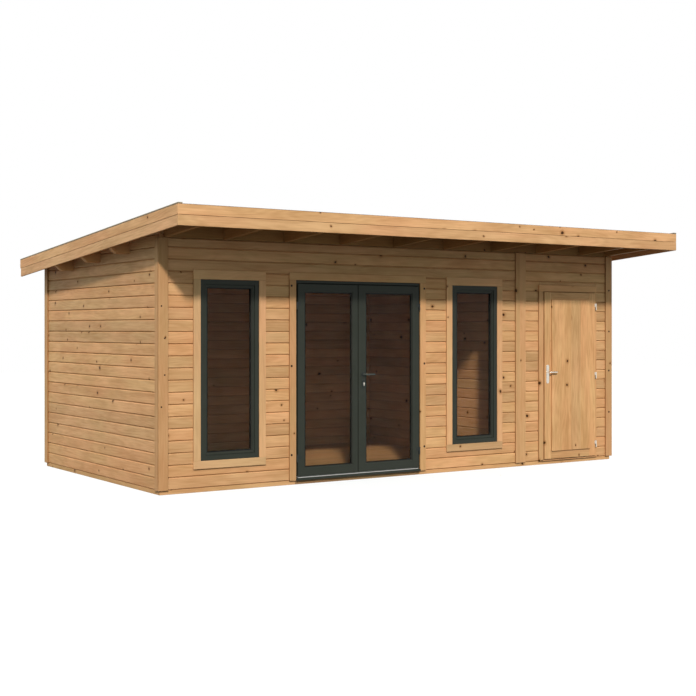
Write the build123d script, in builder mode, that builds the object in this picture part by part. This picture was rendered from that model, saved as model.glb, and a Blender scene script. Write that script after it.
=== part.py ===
"""Timber garden house with a glazed double door, two tall windows and a store room under one pent roof.

Millimetres, +Z up. The front faces -Y. The origin is on the ground under the middle of the roof.
"""

import os

from build123d import *

# Front wall from left to right, corner board to corner board: these widths add up to the house's width
left_pier = 435
window_width = 628
window_to_door = 418
double_door_width = 1526
door_to_window = 431
window_to_joint = 336
joint_to_shed_door = 352
shed_door_width = 786
right_pier = 290

# Depth, heights and roof edges
house_depth = 3000
opening_head = 2002
window_bottom = 294
front_lintel_height = 346
roof_drop = 301
side_overhang = 193
front_overhang = 810
back_overhang = 247

# Cuts run past the face they open by this much
overrun = 20

# Base, floor and walls
bearer_height = 40
bearer_width = 70
bearer_inset = 3
room_joist_count = 6
shed_joist_count = 1
floor_thickness = 20
wall_thickness = 44
board_pitch = 112.8

# Cover boards on the corners and on the front joint between room and store
trim_thickness = 18
corner_front_width = 100
corner_side_width = 86
joint_cover_width = 65
joint_strip_width = 86
joint_strip_thickness = 10
joint_gap = 3
eased_edge = 3

# Roof: felt on a board deck on rafters, with two-board fascias round it
felt_thickness = 3
deck_thickness = 18
fascia_height = 190
fascia_thickness = 20
fascia_gap = 4
rafter_width = 45
rafter_drop = 15
first_rafter_from_left = 710
rafter_pitch = 660
lookout_width = 60
lookout_drop = 50
first_lookout_from_front = 690
lookout_pitch = 728
lath_width = 45
lath_thickness = 10

# Tall windows: timber casing, stepped frame, sealed glass unit
window_frame_width = 46
window_sash_width = 36
window_frame_setback = 5
window_sash_setback = 13
window_frame_depth = 66
glass_thickness = 24
glass_setback = 28
casing_width = 75
casing_head = 89

# Glazed double door that opens outwards
frame_cover = 40
frame_show = 13
stop_overlap = 12
stop_depth = 20
leaf_gap = 8
meeting_gap = 9
stop_gap = 5
leaf_setback = 2
leaf_thickness = 48
leaf_stile = 92
left_meeting_stile = 75
right_meeting_stile = 104
meeting_offset = 25
leaf_top_rail = 87
leaf_bottom_rail = 95
bead_width = 16
bead_setback = 7
sill_nosing = 8
threshold_height = 10
threshold_nosing = 14
threshold_upstand = 20
threshold_upstand_width = 7

# Store door: framed leaf with a recessed panel, hinged on the right
shed_door_head_drop = 52
shed_door_proud = 16
shed_door_thickness = 44
shed_stile = 96
shed_top_rail = 84
shed_bottom_rail = 90
shed_panel_setback = 14
shed_panel_thickness = 20
shed_casing_width = 65
shed_hinge_casing_width = 30
shed_casing_head = 72
shed_jamb_width = 40
shed_hinge_jamb_width = 22
shed_sill_height = 12

# Hinges: a pinned lower knuckle on the frame, a bored upper knuckle on the leaf
knuckle_radius = 7
knuckle_length = 36
pin_radius = 4
pin_length = 28
pin_clearance = 0.3
knuckle_gap = 1
door_hinge_plate_width = 34
shed_hinge_plate_width = 14
hinge_plate_thickness = 3
hinge_tail_width = 8
door_hinge_from_bottom = 177
door_hinge_from_top = 216
shed_hinge_from_bottom = 138
shed_hinge_from_top = 158

# Lever handles
lever_height = 1071
lever_from_edge = 59
lever_reach = 112
lever_stand_off = 46
lever_radius = 8
lever_bend_radius = 14
lever_end_radius = 5
fitting_edge = 2
rose_radius = 25
rose_thickness = 8
cylinder_drop = 99
escutcheon_width = 36
escutcheon_height = 92
cylinder_radius = 8.5
cylinder_tail_width = 10
cylinder_height = 33
cylinder_stand_off = 6
shed_lever_height = 1045
shed_plate_width = 40
shed_plate_height = 213
shed_plate_rise = 85
shed_plate_from_edge = 38

# Places worked out from those sizes
to_right_window = left_pier + window_width + window_to_door + double_door_width + door_to_window
to_joint = to_right_window + window_width + window_to_joint
to_shed_door = to_joint + joint_to_shed_door
house_width = to_shed_door + shed_door_width + right_pier
roof_half_width = house_width / 2 + side_overhang
roof_depth = front_overhang + house_depth + back_overhang
roof_front = -roof_depth / 2
roof_back = roof_depth / 2
roof_fall = roof_drop / roof_depth
house_front = roof_front + front_overhang
house_back = house_front + house_depth
house_left = -house_width / 2
house_right = house_width / 2
wall_left = house_left + trim_thickness
wall_right = house_right - trim_thickness
wall_front = house_front + trim_thickness
wall_back = house_back - trim_thickness
room_left = wall_left + wall_thickness
room_right = wall_right - wall_thickness
room_front = wall_front + wall_thickness
room_back = wall_back - wall_thickness
joint_line = house_left + to_joint
partition_left = joint_line - wall_thickness / 2
partition_right = joint_line + wall_thickness / 2
floor_top = bearer_height + floor_thickness
deck_drop = felt_thickness + deck_thickness
rafter_under_drop = fascia_height + rafter_drop
roof_front_top = opening_head + front_lintel_height + rafter_under_drop + (wall_front - roof_front) * roof_fall


def roof_line(y):
    """Height of the felt's top face at a depth."""
    return roof_front_top - (y - roof_front) * roof_fall


# Side walls end on a whole board, just under the top of the back wall
back_wall_top = roof_line(wall_back) - rafter_under_drop
gable_base = bearer_height + (back_wall_top - bearer_height) // board_pitch * board_pitch


def elevation(y):
    """Plane seen from the front, on which a sketch is grown towards the viewer."""
    return Plane(origin=(0, y, 0), x_dir=(1, 0, 0), z_dir=(0, -1, 0))


def block(x0, x1, y0, y1, z0, z1):
    """Adds an upright block between two corners to the current part."""
    with BuildSketch(Plane.XY.offset(z0)) as footprint:
        with Locations(((x0 + x1) / 2, (y0 + y1) / 2)):
            Rectangle(x1 - x0, y1 - y0)
    extrude(footprint.sketch, amount=z1 - z0)


def profile_run(x0, x1, points):
    """Adds a side profile of (y, z) points, carried along X."""
    with BuildSketch(Plane.YZ.offset(x0)) as profile:
        with BuildLine():
            Polyline(*points, close=True)
        make_face()
    extrude(profile.sketch, amount=x1 - x0)


def roof_band(x0, x1, y0, y1, top_drop, bottom_drop):
    """Adds a piece that follows the roof's fall between two drops below the roof line."""
    profile_run(
        x0,
        x1,
        [
            (y0, roof_line(y0) - bottom_drop),
            (y1, roof_line(y1) - bottom_drop),
            (y1, roof_line(y1) - top_drop),
            (y0, roof_line(y0) - top_drop),
        ],
    )


def wall_run(x0, x1, y0, y1, base, top_drop):
    """Adds a wall with a level foot and a top cut to the roof's fall."""
    profile_run(
        x0,
        x1,
        [
            (y0, base),
            (y1, base),
            (y1, roof_line(y1) - top_drop),
            (y0, roof_line(y0) - top_drop),
        ],
    )


def panel(x0, x1, z0, z1, y0, y1, mode=Mode.ADD):
    """Adds or cuts a rectangle seen from the front, between two depths."""
    with BuildSketch(elevation(y1)) as outline:
        with Locations(((x0 + x1) / 2, (z0 + z1) / 2)):
            Rectangle(x1 - x0, z1 - z0)
    extrude(outline.sketch, amount=y1 - y0, mode=mode)


def frame_band(outer, inner, y0, y1):
    """Adds the band between two rectangles (x0, x1, z0, z1), seen from the front."""
    with BuildSketch(elevation(y1)) as band:
        for (x0, x1, z0, z1), mode in ((outer, Mode.ADD), (inner, Mode.SUBTRACT)):
            with Locations(((x0 + x1) / 2, (z0 + z1) / 2)):
                Rectangle(x1 - x0, z1 - z0, mode=mode)
    extrude(band.sketch, amount=y1 - y0)


def inset(rectangle, left, right, bottom, top):
    """Rectangle (x0, x1, z0, z1) drawn in on each side; negative amounts draw it out."""
    x0, x1, z0, z1 = rectangle
    return (x0 + left, x1 - right, z0 + bottom, z1 - top)


def ease_front(piece, width):
    """Takes the sharp edges off the faces of a piece that look straight to the front."""
    front = piece.faces().sort_by(Axis.Y)[0]
    chamfer(front.edges(), width)


def keep(piece, label):
    """Names a finished piece and writes it."""
    piece.part.label = label
    export_step(piece.part, f"parts/{label}.step")


os.makedirs("parts", exist_ok=True)

# Base: bearers lie flat on the ground and stay just inside the wall faces
base_left = wall_left + bearer_inset
base_right = wall_right - bearer_inset
base_front = wall_front + bearer_inset
base_back = wall_back - bearer_inset

with BuildPart() as long_bearers:
    block(base_left, base_right, base_front, base_front + bearer_width, 0, bearer_height)
    block(base_left, base_right, base_back - bearer_width, base_back, 0, bearer_height)
keep(long_bearers, "long_bearers")

first_joist = base_left + bearer_width / 2
last_joist = base_right - bearer_width / 2
room_step = (joint_line - first_joist) / (room_joist_count + 1)
shed_step = (last_joist - joint_line) / (shed_joist_count + 1)
joist_lines = [first_joist + room_step * i for i in range(room_joist_count + 1)]
joist_lines += [joint_line + shed_step * i for i in range(shed_joist_count + 2)]

with BuildPart() as cross_bearers:
    for line in joist_lines:
        block(
            line - bearer_width / 2,
            line + bearer_width / 2,
            base_front + bearer_width,
            base_back - bearer_width,
            0,
            bearer_height,
        )
keep(cross_bearers, "cross_bearers")

with BuildPart() as room_floor:
    block(room_left, partition_left, room_front, room_back, bearer_height, floor_top)
keep(room_floor, "room_floor")

with BuildPart() as shed_floor:
    block(partition_right, room_right, room_front, room_back, bearer_height, floor_top)
keep(shed_floor, "shed_floor")

# Side walls run the full depth, each with a sloping gable panel on its top board
side_walls = {"left": (wall_left, room_left), "right": (room_right, wall_right)}
for side, (x0, x1) in side_walls.items():
    with BuildPart() as side_wall:
        block(x0, x1, wall_front, wall_back, bearer_height, gable_base)
    keep(side_wall, f"{side}_wall")

with BuildPart() as gable_panels:
    for x0, x1 in side_walls.values():
        wall_run(x0, x1, wall_front, wall_back, gable_base, deck_drop)
keep(gable_panels, "gable_panels")

with BuildPart() as back_wall:
    wall_run(room_left, room_right, room_back, wall_back, bearer_height, rafter_under_drop)
keep(back_wall, "back_wall")

with BuildPart() as partition_wall:
    wall_run(partition_left, partition_right, room_front, room_back, bearer_height, rafter_under_drop)
keep(partition_wall, "partition_wall")

# Openings in the front wall, as rectangles (x0, x1, z0, z1) seen from the front
left_window_x = house_left + left_pier
right_window_x = house_left + to_right_window
left_window = (left_window_x, left_window_x + window_width, window_bottom, opening_head)
right_window = (right_window_x, right_window_x + window_width, window_bottom, opening_head)
threshold_top = floor_top + threshold_height
double_door_x = left_window[1] + window_to_door
double_door = (double_door_x, double_door_x + double_door_width, threshold_top, opening_head)
door_frame_outer = inset(double_door, -frame_cover, -frame_cover, 0, -frame_cover)
shed_leaf = (
    house_left + to_shed_door,
    house_left + to_shed_door + shed_door_width,
    bearer_height + shed_sill_height + leaf_gap,
    opening_head - shed_door_head_drop,
)
shed_doorway = inset(shed_leaf, -leaf_gap, -leaf_gap, -leaf_gap, -leaf_gap)
shed_frame_outer = inset(shed_doorway, -shed_jamb_width, -shed_hinge_jamb_width, 0, -shed_jamb_width)


def front_wall(x0, x1, base, label, window=None):
    """Front wall between two places, with a window cut through it where one is given."""
    with BuildPart() as piece:
        wall_run(x0, x1, wall_front, room_front, base, rafter_under_drop)
        if window:
            panel(*window, wall_front - overrun, room_front + overrun, mode=Mode.SUBTRACT)
    keep(piece, label)


front_wall(room_left, door_frame_outer[0], bearer_height, "front_wall_left", left_window)
front_wall(door_frame_outer[0], door_frame_outer[1], door_frame_outer[3], "double_door_lintel")
front_wall(door_frame_outer[1], joint_line, bearer_height, "front_wall_middle", right_window)
front_wall(joint_line, shed_frame_outer[0], bearer_height, "shed_wall_left")
front_wall(shed_frame_outer[0], shed_frame_outer[1], shed_frame_outer[3], "shed_door_lintel")
front_wall(shed_frame_outer[1], room_right, bearer_height, "shed_wall_right")

# Corner boards: two boards in an L round each corner, cut off level under the rafters
front_trim_top = roof_line(house_front + corner_side_width) - rafter_under_drop
back_trim_top = roof_line(house_back) - rafter_under_drop
corners = (
    (house_left, house_front, 1, 1, front_trim_top),
    (house_right, house_front, -1, 1, front_trim_top),
    (house_left, house_back, 1, -1, back_trim_top),
    (house_right, house_back, -1, -1, back_trim_top),
)
with BuildPart() as corner_boards:
    for x, y, into_x, into_y, top in corners:
        with BuildSketch(Plane.XY.offset(bearer_height)) as corner_board:
            with BuildLine():
                Polyline(
                    (x, y),
                    (x + into_x * corner_front_width, y),
                    (x + into_x * corner_front_width, y + into_y * trim_thickness),
                    (x + into_x * trim_thickness, y + into_y * trim_thickness),
                    (x + into_x * trim_thickness, y + into_y * corner_side_width),
                    (x, y + into_y * corner_side_width),
                    close=True,
                )
            make_face()
            chamfer(corner_board.vertices().sort_by_distance((x, y))[0], eased_edge)
        extrude(amount=top - bearer_height)
keep(corner_boards, "corner_boards")

# Joint between room and store: a proud cover board, and a thinner strip beside it at the front
cover_right = joint_line - joint_gap / 2
cover_left = cover_right - joint_cover_width
strip_left = joint_line + joint_gap / 2
with BuildPart() as joint_covers:
    wall_run(cover_left, cover_right, house_front, wall_front, bearer_height, rafter_under_drop)
    wall_run(cover_left, cover_right, wall_back, house_back, bearer_height, rafter_under_drop)
    wall_run(
        strip_left,
        strip_left + joint_strip_width,
        wall_front - joint_strip_thickness,
        wall_front,
        bearer_height,
        rafter_under_drop,
    )
keep(joint_covers, "joint_covers")

# Roof timbers
first_rafter = house_left + first_rafter_from_left
last_rafter = room_right - rafter_width / 2
inner_rafter_count = int((last_rafter - rafter_width - first_rafter) // rafter_pitch) + 1
rafter_lines = [room_left + rafter_width / 2]
rafter_lines += [first_rafter + rafter_pitch * i for i in range(inner_rafter_count)]
rafter_lines += [last_rafter]
inner_front = roof_front + fascia_thickness
inner_back = roof_back - fascia_thickness
inner_half_width = roof_half_width - fascia_thickness

# Behind the back wall the rafters are cut down to the back fascia's one board
fascia_board = (fascia_height - felt_thickness - fascia_gap) / 2
fascia_drops = (
    (felt_thickness, felt_thickness + fascia_board),
    (fascia_height - fascia_board, fascia_height),
)
with BuildPart() as rafters:
    for line in rafter_lines:
        x0 = line - rafter_width / 2
        x1 = line + rafter_width / 2
        roof_band(x0, x1, inner_front, wall_back, deck_drop, rafter_under_drop)
        roof_band(x0, x1, wall_back, inner_back, deck_drop, fascia_drops[0][1])
keep(rafters, "rafters")

# Fillers close the bays between the rafters over the front and back walls
with BuildPart() as eaves_fillers:
    for line, following in zip(rafter_lines, rafter_lines[1:]):
        x0 = line + rafter_width / 2
        x1 = following - rafter_width / 2
        roof_band(x0, x1, wall_front, room_front, deck_drop, rafter_under_drop)
        roof_band(x0, x1, room_back, wall_back, deck_drop, rafter_under_drop)
keep(eaves_fillers, "eaves_fillers")

# Lookouts reach from the side walls to the side fascias and carry the roof's edges
lookout_count = int((house_depth - first_lookout_from_front) // lookout_pitch)
with BuildPart() as lookouts:
    for i in range(lookout_count):
        y0 = house_front + first_lookout_from_front + lookout_pitch * i
        y1 = y0 + lookout_width
        for x0, x1 in ((-inner_half_width, wall_left), (wall_right, inner_half_width)):
            roof_band(x0, x1, y0, y1, deck_drop, fascia_height + lookout_drop)
keep(lookouts, "lookouts")

with BuildPart() as roof_deck:
    roof_band(-inner_half_width, inner_half_width, inner_front, inner_back, felt_thickness, deck_drop)
keep(roof_deck, "roof_deck")

with BuildPart() as roof_felt:
    roof_band(-roof_half_width, roof_half_width, roof_front, roof_back, 0, felt_thickness)
keep(roof_felt, "roof_felt")


def fascia(x0, x1, y0, y1):
    """Adds two boards, one above the other, with a narrow shadow gap between them."""
    for top_drop, bottom_drop in fascia_drops:
        roof_band(x0, x1, y0, y1, top_drop, bottom_drop)


with BuildPart() as front_fascia:
    fascia(-roof_half_width, roof_half_width, roof_front, inner_front)
keep(front_fascia, "front_fascia")

with BuildPart() as back_fascia:
    roof_band(-roof_half_width, roof_half_width, inner_back, roof_back, *fascia_drops[0])
keep(back_fascia, "back_fascia")

with BuildPart() as side_fascias:
    fascia(-roof_half_width, -inner_half_width, inner_front, inner_back)
    fascia(inner_half_width, roof_half_width, inner_front, inner_back)
keep(side_fascias, "side_fascias")

with BuildPart() as verge_laths:
    roof_band(-roof_half_width, lath_width - roof_half_width, roof_front, roof_back, -lath_thickness, 0)
    roof_band(roof_half_width - lath_width, roof_half_width, roof_front, roof_back, -lath_thickness, 0)
keep(verge_laths, "verge_laths")

# Windows: casing on the wall, stepped frame in the opening, glass in the sash
frame_front = house_front + window_frame_setback
frame_back = frame_front + window_frame_depth
sash_front = house_front + window_sash_setback
glass_front = house_front + glass_setback
for side, opening in (("left", left_window), ("right", right_window)):
    with BuildPart() as window_casing:
        casing_outer = inset(opening, -casing_width, -casing_width, -casing_width, -casing_head)
        frame_band(casing_outer, opening, house_front, wall_front)
        ease_front(window_casing, eased_edge)
    keep(window_casing, f"{side}_window_casing")

    sash = inset(opening, *[window_frame_width] * 4)
    light = inset(sash, *[window_sash_width] * 4)
    bead = inset(light, *[-bead_width] * 4)
    with BuildPart() as window_frame:
        frame_band(opening, sash, frame_front, frame_back)
        frame_band(sash, bead, sash_front, frame_back)
        frame_band(bead, light, sash_front + bead_setback, frame_back)
    keep(window_frame, f"{side}_window_frame")

    with BuildPart() as window_glass:
        panel(*light, glass_front, glass_front + glass_thickness)
    keep(window_glass, f"{side}_window_glass")

# Double door: fixed pieces
with BuildPart() as double_door_casing:
    opening = (double_door[0], double_door[1], bearer_height, opening_head)
    frame_band(inset(opening, -casing_width, -casing_width, 0, -casing_head), opening, house_front, wall_front)
    ease_front(double_door_casing, eased_edge)
keep(double_door_casing, "double_door_casing")

leaf_front = house_front + leaf_setback
leaf_back = leaf_front + leaf_thickness
stop_front = leaf_back + stop_gap
stop_back = stop_front + stop_depth
frame_edge = inset(double_door, frame_show, frame_show, 0, frame_show)
leaf_space = inset(frame_edge, leaf_gap, leaf_gap, leaf_gap, leaf_gap)
stop_edge = inset(leaf_space, stop_overlap, stop_overlap, -leaf_gap, stop_overlap)
with BuildPart() as double_door_frame:
    frame_band(door_frame_outer, frame_edge, wall_front, stop_front)
    frame_band(door_frame_outer, stop_edge, stop_front, stop_back)
keep(double_door_frame, "double_door_frame")

with BuildPart() as double_door_sill:
    block(double_door[0], double_door[1], house_front - sill_nosing, wall_front, bearer_height, floor_top)
    block(door_frame_outer[0], door_frame_outer[1], wall_front, room_front, bearer_height, floor_top)
keep(double_door_sill, "double_door_sill")

upstand_back = stop_front + threshold_upstand_width
upstand_top = threshold_top + threshold_upstand
with BuildPart() as double_door_threshold:
    block(double_door[0], double_door[1], house_front - threshold_nosing, wall_front, floor_top, threshold_top)
    block(door_frame_outer[0], door_frame_outer[1], wall_front, upstand_back, floor_top, threshold_top)
    block(stop_edge[0], stop_edge[1], stop_front, upstand_back, threshold_top, upstand_top)
keep(double_door_threshold, "double_door_threshold")

# Double door: the two glazed leaves
meeting_line = (leaf_space[0] + leaf_space[1]) / 2 - meeting_offset
left_leaf_box = (leaf_space[0], meeting_line - meeting_gap / 2, leaf_space[2], leaf_space[3])
right_leaf_box = (meeting_line + meeting_gap / 2, leaf_space[1], leaf_space[2], leaf_space[3])
leaf_glass_front = leaf_front + (leaf_thickness - glass_thickness) / 2
for side, leaf_box, stiles in (
    ("left", left_leaf_box, (leaf_stile, left_meeting_stile)),
    ("right", right_leaf_box, (right_meeting_stile, leaf_stile)),
):
    light = inset(leaf_box, *stiles, leaf_bottom_rail, leaf_top_rail)
    bead = inset(light, *[-bead_width] * 4)
    with BuildPart() as door_leaf:
        frame_band(leaf_box, bead, leaf_front, leaf_back)
        frame_band(bead, light, leaf_front + bead_setback, leaf_back)
    keep(door_leaf, f"{side}_door_leaf")

    with BuildPart() as leaf_glass:
        panel(*light, leaf_glass_front, leaf_glass_front + glass_thickness)
    keep(leaf_glass, f"{side}_door_glass")

# Store door: fixed pieces, then the framed leaf and its panel
with BuildPart() as shed_door_casing:
    opening = (shed_doorway[0], shed_doorway[1], bearer_height, shed_doorway[3])
    casing_outer = inset(opening, -shed_casing_width, -shed_hinge_casing_width, 0, -shed_casing_head)
    frame_band(casing_outer, opening, house_front, wall_front)
    ease_front(shed_door_casing, eased_edge)
keep(shed_door_casing, "shed_door_casing")

shed_leaf_front = house_front - shed_door_proud
shed_leaf_back = shed_leaf_front + shed_door_thickness
shed_stop_front = shed_leaf_back + stop_gap
shed_stop_edge = inset(shed_leaf, stop_overlap, stop_overlap, -leaf_gap, stop_overlap)
with BuildPart() as shed_door_frame:
    frame_band(shed_frame_outer, shed_doorway, wall_front, shed_stop_front)
    frame_band(shed_frame_outer, shed_stop_edge, shed_stop_front, room_front)
keep(shed_door_frame, "shed_door_frame")

with BuildPart() as shed_door_sill:
    block(
        shed_frame_outer[0],
        shed_frame_outer[1],
        wall_front,
        room_front,
        bearer_height,
        bearer_height + shed_sill_height,
    )
keep(shed_door_sill, "shed_door_sill")

shed_panel_box = inset(shed_leaf, shed_stile, shed_stile, shed_bottom_rail, shed_top_rail)
shed_panel_front = shed_leaf_front + shed_panel_setback
with BuildPart() as shed_door_leaf:
    frame_band(shed_leaf, shed_panel_box, shed_leaf_front, shed_leaf_back)
keep(shed_door_leaf, "shed_door_leaf")

with BuildPart() as shed_door_panel:
    panel(*shed_panel_box, shed_panel_front, shed_panel_front + shed_panel_thickness)
keep(shed_door_panel, "shed_door_panel")


# Hinges turn about an upright axis just in front of the leaf's face, in the gap at its edge
def frame_knuckles(axis_x, axis_y, heights, seat_y):
    """Lower knuckles with their pins, each on a tail that reaches back to the frame."""
    for height in heights:
        lower = height - knuckle_length - knuckle_gap / 2
        with BuildSketch(Plane.XY.offset(lower)) as knuckle:
            with Locations((axis_x, axis_y)):
                Circle(knuckle_radius)
            with Locations((axis_x, (axis_y + seat_y) / 2)):
                Rectangle(hinge_tail_width, seat_y - axis_y)
        extrude(knuckle.sketch, amount=knuckle_length)
        with BuildSketch(Plane.XY.offset(lower + knuckle_length)) as pin:
            with Locations((axis_x, axis_y)):
                Circle(pin_radius)
        extrude(pin.sketch, amount=pin_length)


def leaf_knuckles(axis_x, axis_y, heights, face_y, reach):
    """Upper knuckles bored for the pins, each on a plate that lies on the leaf's face."""
    plate_start = axis_x
    plate_end = axis_x + reach
    for height in heights:
        upper = height + knuckle_gap / 2
        with BuildSketch(Plane.XY.offset(upper)) as knuckle:
            with Locations(((plate_start + plate_end) / 2, face_y - hinge_plate_thickness / 2)):
                Rectangle(abs(plate_end - plate_start), hinge_plate_thickness)
            with Locations((axis_x, axis_y)):
                Circle(knuckle_radius)
                Circle(pin_radius + pin_clearance, mode=Mode.SUBTRACT)
        extrude(knuckle.sketch, amount=knuckle_length)


door_hinge_heights = (leaf_space[2] + door_hinge_from_bottom, leaf_space[3] - door_hinge_from_top)
hinge_offset = (frame_show + leaf_gap) / 2
left_axis_x = double_door[0] + hinge_offset
right_axis_x = double_door[1] - hinge_offset
door_axis_y = leaf_front - hinge_plate_thickness
door_hinge_reach = knuckle_radius + door_hinge_plate_width
with BuildPart() as double_door_frame_hinges:
    for axis_x in (left_axis_x, right_axis_x):
        frame_knuckles(axis_x, door_axis_y, door_hinge_heights, wall_front)
keep(double_door_frame_hinges, "double_door_frame_hinges")

with BuildPart() as left_leaf_hinges:
    leaf_knuckles(left_axis_x, door_axis_y, door_hinge_heights, leaf_front, door_hinge_reach)
keep(left_leaf_hinges, "left_leaf_hinges")

with BuildPart() as right_leaf_hinges:
    leaf_knuckles(right_axis_x, door_axis_y, door_hinge_heights, leaf_front, -door_hinge_reach)
keep(right_leaf_hinges, "right_leaf_hinges")

lowest_shed_hinge = shed_leaf[2] + shed_hinge_from_bottom
highest_shed_hinge = shed_leaf[3] - shed_hinge_from_top
shed_hinge_heights = (lowest_shed_hinge, (lowest_shed_hinge + highest_shed_hinge) / 2, highest_shed_hinge)
shed_axis_x = shed_doorway[1] + hinge_tail_width / 2
shed_axis_y = shed_leaf_front - hinge_plate_thickness
shed_hinge_reach = knuckle_radius + shed_hinge_plate_width
with BuildPart() as shed_frame_hinges:
    frame_knuckles(shed_axis_x, shed_axis_y, shed_hinge_heights, house_front)
keep(shed_frame_hinges, "shed_frame_hinges")

with BuildPart() as shed_leaf_hinges:
    leaf_knuckles(shed_axis_x, shed_axis_y, shed_hinge_heights, shed_leaf_front, -shed_hinge_reach)
keep(shed_leaf_hinges, "shed_leaf_hinges")


# Lever handles: a neck that turns in its rose, and a grip that points towards the hinges
def lever(x, face_y, z, seat):
    """Round bar that comes straight out of the door and bends along it."""
    start_y = face_y - seat
    grip_y = face_y - lever_stand_off
    with BuildLine() as route:
        FilletPolyline(
            (x, start_y, z),
            (x, grip_y, z),
            (x + lever_reach, grip_y, z),
            radius=lever_bend_radius,
        )
    with BuildSketch(Plane(origin=(x, start_y, z), z_dir=(0, -1, 0))) as bar:
        Circle(lever_radius)
    sweep(bar.sketch, path=route.line)


def round_lever_end(piece):
    """Rounds the free end of a lever's grip."""
    tip = piece.faces().sort_by(Axis.X)[-1]
    fillet(tip.edges(), lever_end_radius)


door_lever_x = right_leaf_box[0] + lever_from_edge
with BuildPart() as door_lever:
    lever(door_lever_x, leaf_front, lever_height, pin_clearance)
    round_lever_end(door_lever)
keep(door_lever, "door_lever")

cylinder_z = lever_height - cylinder_drop + cylinder_height / 2 - cylinder_radius
tail_length = cylinder_height - cylinder_radius - cylinder_tail_width / 2


def lock_outline(clearance, mode):
    """End of a lock cylinder: a round with a narrower tail below it."""
    with Locations((door_lever_x, cylinder_z)):
        Circle(cylinder_radius + clearance, mode=mode)
    with Locations((door_lever_x, cylinder_z - tail_length / 2)):
        SlotCenterToCenter(tail_length, cylinder_tail_width + 2 * clearance, rotation=90, mode=mode)


with BuildPart() as door_roses:
    with BuildSketch(elevation(leaf_front)):
        with Locations((door_lever_x, lever_height)):
            Circle(rose_radius)
            Circle(lever_radius + pin_clearance, mode=Mode.SUBTRACT)
        with Locations((door_lever_x, lever_height - cylinder_drop)):
            SlotOverall(escutcheon_height, escutcheon_width, rotation=90)
        lock_outline(pin_clearance, Mode.SUBTRACT)
    extrude(amount=rose_thickness)
    for face in door_roses.faces().group_by(Axis.Y)[0]:
        fillet(face.outer_wire().edges(), fitting_edge)
keep(door_roses, "door_roses")

with BuildPart() as door_cylinder:
    with BuildSketch(elevation(leaf_front)):
        lock_outline(0, Mode.ADD)
    extrude(amount=rose_thickness + cylinder_stand_off)
keep(door_cylinder, "door_cylinder")

shed_lever_x = shed_leaf[0] + shed_plate_from_edge
plate_top = shed_lever_height + shed_plate_rise
with BuildPart() as shed_door_plate:
    with BuildSketch(elevation(shed_leaf_front)):
        with Locations((shed_lever_x, plate_top - shed_plate_height / 2)):
            SlotOverall(shed_plate_height, shed_plate_width, rotation=90)
        with Locations((shed_lever_x, shed_lever_height)):
            Circle(lever_radius + pin_clearance, mode=Mode.SUBTRACT)
    extrude(amount=rose_thickness)
    fillet(shed_door_plate.faces().sort_by(Axis.Y)[0].outer_wire().edges(), fitting_edge)
keep(shed_door_plate, "shed_door_plate")

with BuildPart() as shed_door_lever:
    lever(shed_lever_x, shed_leaf_front, shed_lever_height, pin_clearance)
    round_lever_end(shed_door_lever)
keep(shed_door_lever, "shed_door_lever")
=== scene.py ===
"""Finishes of a timber garden house: boarded walls, trims, roof, glazed doors and windows, in metres."""

import math

import bpy
import numpy as np
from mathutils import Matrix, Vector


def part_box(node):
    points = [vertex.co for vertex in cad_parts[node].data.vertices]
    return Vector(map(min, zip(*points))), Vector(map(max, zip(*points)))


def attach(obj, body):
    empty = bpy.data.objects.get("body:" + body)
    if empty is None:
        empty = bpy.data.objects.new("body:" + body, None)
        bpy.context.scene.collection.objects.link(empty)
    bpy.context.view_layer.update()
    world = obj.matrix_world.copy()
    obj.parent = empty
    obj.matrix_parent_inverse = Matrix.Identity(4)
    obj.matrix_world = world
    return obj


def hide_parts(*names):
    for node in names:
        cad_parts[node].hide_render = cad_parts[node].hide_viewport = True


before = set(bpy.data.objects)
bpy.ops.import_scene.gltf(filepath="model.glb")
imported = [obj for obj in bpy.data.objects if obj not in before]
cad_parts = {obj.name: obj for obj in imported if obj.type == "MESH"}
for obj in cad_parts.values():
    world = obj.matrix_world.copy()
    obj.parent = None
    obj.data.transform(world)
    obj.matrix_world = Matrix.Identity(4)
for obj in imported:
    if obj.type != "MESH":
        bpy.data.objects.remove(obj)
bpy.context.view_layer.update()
chance = np.random.default_rng(28)
X, Y, Z = range(3)
OUTER, INNER = range(2)

# Boards
BOARD_PITCH = 0.1128
SHORTEST_COURSE = 0.006
WALL_GROOVE = 0.0100
TRIM_EDGE = 0.003
ROUGH_EDGE = 0.002
FLOOR_GROOVE = 0.0015
FLOOR_BOARD = 0.096
DECK_BOARD = 0.094
DECK_GROOVE = 0.004
END_INSET_SHARE = 0.6
THIN_EASE_SHARE = 0.8
GABLE_RINGS = 40
GRAIN_SPREAD = 40.0
CHAMFER_POINTS = 2
ROUND_POINTS = 3
ANY_TONE = (0.0, 1.0)

# Figure of the wood: repeats per metre along, across and through a board, and shares of its depth
STREAK_SCALE = (0.8, 26.0, 26.0)
RING_SCALE = (0.9, 6.0, 6.0)
FIBRE_SCALE = (5.0, 120.0, 120.0)
CLOUD_SCALE = (2.2, 7.0, 7.0)
BLUSH_SCALE = (1.3, 4.0, 4.0)
WEAR_SCALE = (5.0, 0.0, 0.0)
RING_TURNS = 70.0
RING_SHARE = 0.05
FIBRE_SHARE = 0.30
STREAK_SHARE = 0.27
CLOUD_SHARE = 0.38
FIGURE_REACH = 0.24
BOARD_TONES = (
    (0.0, (0.85, 0.84, 0.82)),
    (0.35, (1.0, 1.0, 1.0)),
    (0.7, (1.09, 1.06, 1.02)),
    (1.0, (1.0, 0.94, 0.91)),
)
BOARD_WARMTH = ((0.0, (0.97, 1.01, 0.98)), (1.0, (1.04, 0.99, 0.99)))
# Groove colour on each board's lower or left edge: a stain together with painted shade in the groove
GROOVE_STAIN_AND_SHADE = (0.17, 0.062, 0.008, 1.0)

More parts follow.
